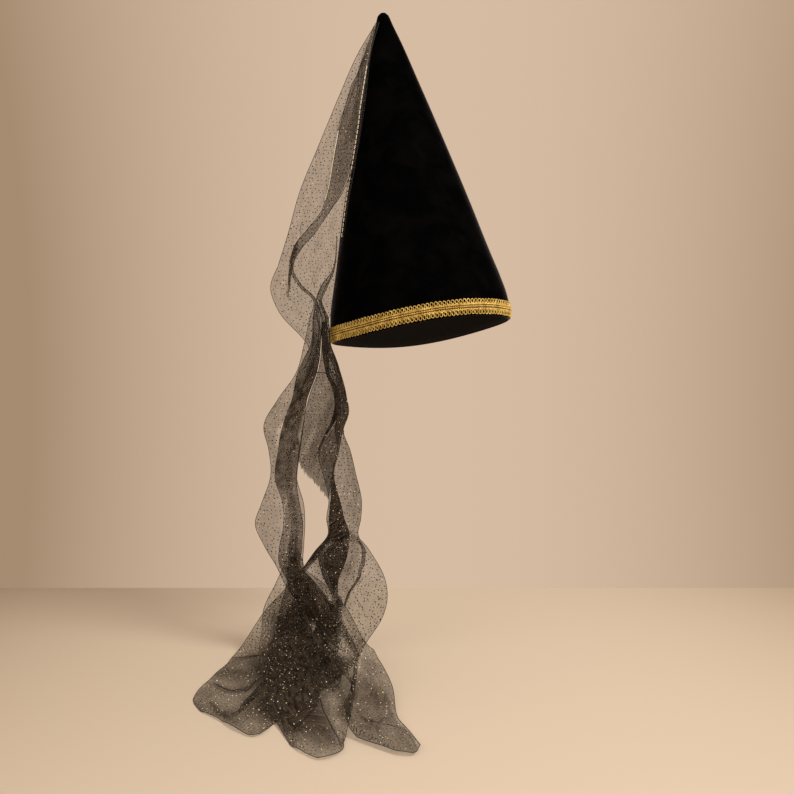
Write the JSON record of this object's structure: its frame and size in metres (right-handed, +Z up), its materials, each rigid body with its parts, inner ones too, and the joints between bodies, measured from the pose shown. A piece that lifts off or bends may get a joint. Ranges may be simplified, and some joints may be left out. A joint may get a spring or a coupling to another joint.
{
  "type": "hennin cone hat",
  "caption": "Tall tilted velvet cone hat with a gimp braid rim and a long dotted tulle veil that falls from the tip in a sail and streamers to the surface below.",
  "frame": {"origin": "middle of the rim opening, where the hat sits on a head", "axes": "+X to the front of the hat, +Y to the wearer's left, +Z up; the cone leans back 7.2 degrees"},
  "size_m": [0.2879, 0.3563, 0.716],
  "materials": {
    "velvet": "black velvet pile",
    "braid": "gold metallic gimp",
    "tulle": "black tulle with flocked dots and glitter"
  },
  "bodies": {
    "root": {"crown": "velvet", "rim_braid": "braid", "veil_sail": "tulle", "veil_streamer_left": "tulle", "veil_streamer_right": "tulle", "veil_short_end": "tulle"}
  },
  "joints": []
}
